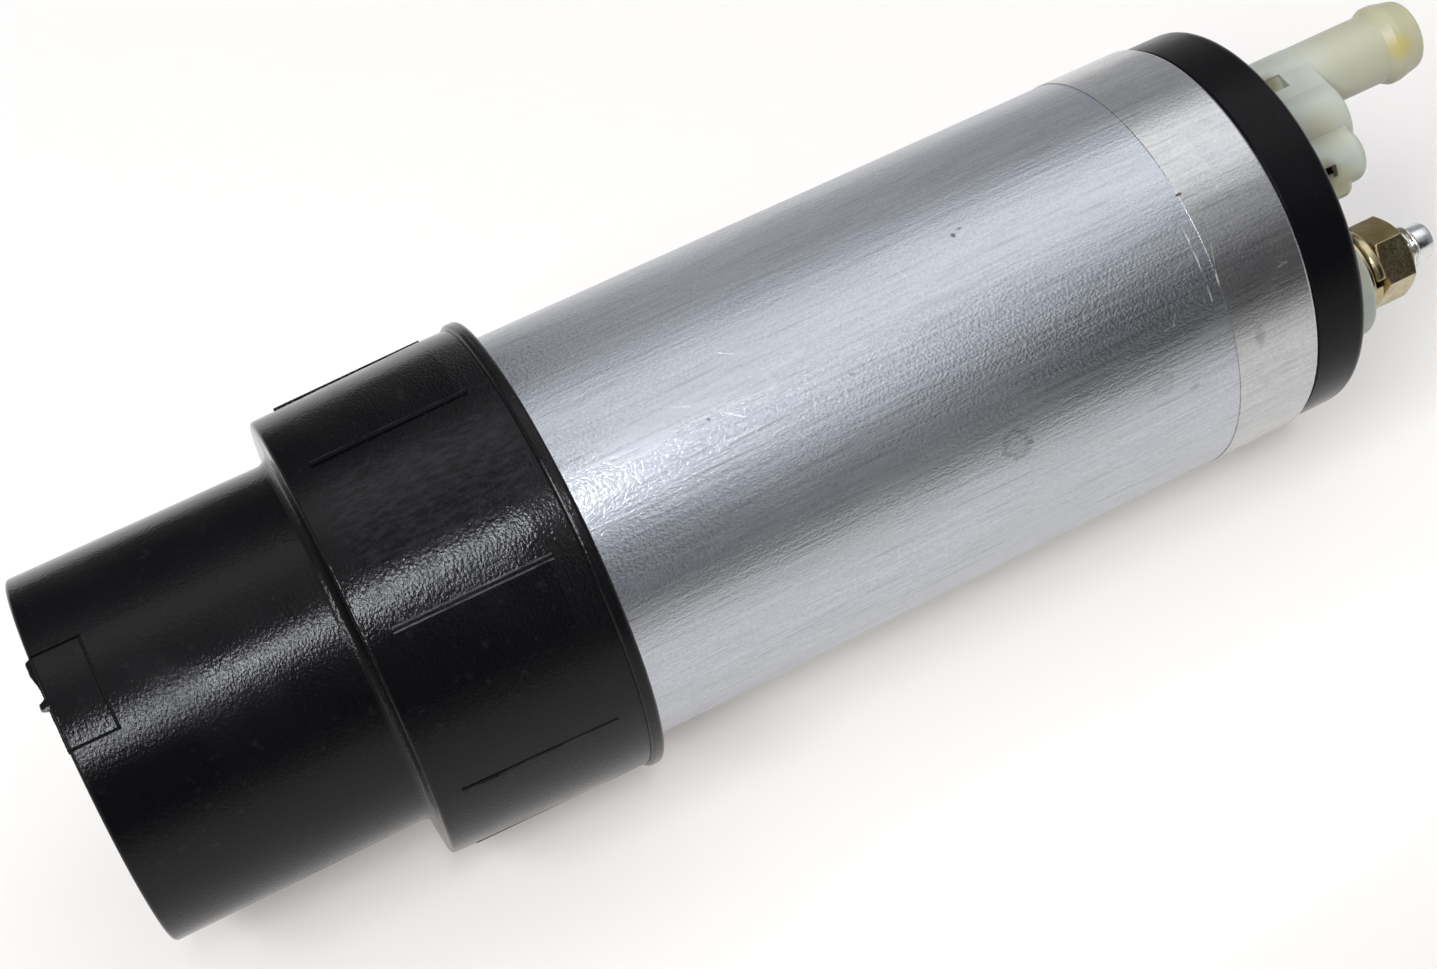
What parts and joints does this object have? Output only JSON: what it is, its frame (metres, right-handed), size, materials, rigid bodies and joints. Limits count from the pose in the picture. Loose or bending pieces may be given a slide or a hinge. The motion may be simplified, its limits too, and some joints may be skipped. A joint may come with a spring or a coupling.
{
  "type": "electric fuel pump",
  "caption": "Cylindrical in-tank electric fuel pump with a turbine, a motor, an outlet spigot, stud terminals and a stepped rubber inlet sleeve.",
  "frame": {"origin": "centre of the rubber sleeve's open rim, at the pump's inlet end", "axes": "+Z along the pump's axis towards the outlet spigot; +X towards the positive terminal, with the spigot on -X"},
  "size_m": [0.0478, 0.0478, 0.1562],
  "materials": {
    "sleeve_rubber": "semi-gloss, moulded",
    "can_aluminium": "drawn, fine lengthwise streaks",
    "clear_tape": "thin clear tape, slightly warm",
    "ring_rubber": "smooth satin",
    "cap_plastic": "milky, slightly translucent",
    "stud_steel": "bright nickel plate",
    "yellow_zinc": "yellow passivated zinc plate, glossy",
    "pump_aluminium": "machined die casting",
    "impeller_plastic": "moulded thermoset",
    "bush_bronze": "sintered bronze",
    "hard_steel": "ground",
    "plain_steel": "rolled, lightly oiled",
    "lamination_steel": "stacked laminations",
    "winding_copper": "enamelled copper wire",
    "commutator_copper": "turned copper",
    "ferrite": "ground ferrite",
    "brush_carbon": "pressed carbon",
    "spring_steel": "drawn wire",
    "seat_brass": "turned",
    "valve_plastic": "moulded",
    "ball_steel": "polished",
    "seal_rubber": "satin"
  },
  "bodies": {
    "pump": {"rubber_sleeve": "sleeve_rubber", "pump_can": "can_aluminium", "tape_band": "clear_tape", "end_ring": "ring_rubber", "end_cap": "cap_plastic", "terminal_stud_positive": "stud_steel", "plain_washer_positive": "yellow_zinc", "spring_washer_positive": "yellow_zinc", "nut_positive": "yellow_zinc", "terminal_stud_negative": "stud_steel", "plain_washer_negative": "yellow_zinc", "spring_washer_negative": "yellow_zinc", "nut_negative": "yellow_zinc", "inlet_cover": "pump_aluminium", "thrust_button": "hard_steel", "pump_ring": "pump_aluminium", "pump_plate": "pump_aluminium", "front_bush": "bush_bronze", "rear_bush": "bush_bronze", "flux_ring": "plain_steel", "field_magnet_a": "ferrite", "field_magnet_b": "ferrite", "magnet_clips": "plain_steel", "brush_spring_a": "spring_steel", "brush_spring_b": "spring_steel", "valve_seat": "seat_brass", "check_valve_spring": "spring_steel", "relief_spring": "spring_steel", "relief_plug": "seat_brass", "cap_seal": "seal_rubber"},
    "armature": {"armature_shaft": "hard_steel", "armature_stack": "lamination_steel", "armature_windings": "winding_copper", "commutator": "commutator_copper", "impeller": "impeller_plastic"},
    "carbon_brush_a": {"brush_a": "brush_carbon"},
    "carbon_brush_b": {"brush_b": "brush_carbon"},
    "outlet_valve": {"check_valve": "valve_plastic"},
    "pressure_relief": {"relief_ball": "ball_steel"}
  },
  "joints": [
    {"name": "armature_spin", "type": "hinge", "parent": "pump", "child": "armature", "pos_m": [0, 0, 0.08], "axis": [0, 0, 1], "continuous": true},
    {"name": "brush_a_slide", "type": "slide", "parent": "pump", "child": "carbon_brush_a", "axis": [0, 0, 1], "range_m": [0, 0.002], "stiffness_N_per_m": 100, "springref_m": -0.01, "deforming": ["brush_spring_a"]},
    {"name": "brush_b_slide", "type": "slide", "parent": "pump", "child": "carbon_brush_b", "axis": [0, 0, 1], "range_m": [0, 0.002], "stiffness_N_per_m": 100, "springref_m": -0.01, "deforming": ["brush_spring_b"]},
    {"name": "check_valve_slide", "type": "slide", "parent": "pump", "child": "outlet_valve", "axis": [0, 0, 1], "range_m": [0, 0.0015], "stiffness_N_per_m": 60, "springref_m": -0.003, "deforming": ["check_valve_spring"]},
    {"name": "relief_valve_slide", "type": "slide", "parent": "pump", "child": "pressure_relief", "axis": [0, 0, 1], "range_m": [0, 0.001], "stiffness_N_per_m": 400, "springref_m": -0.002, "deforming": ["relief_spring"]}
  ]
}
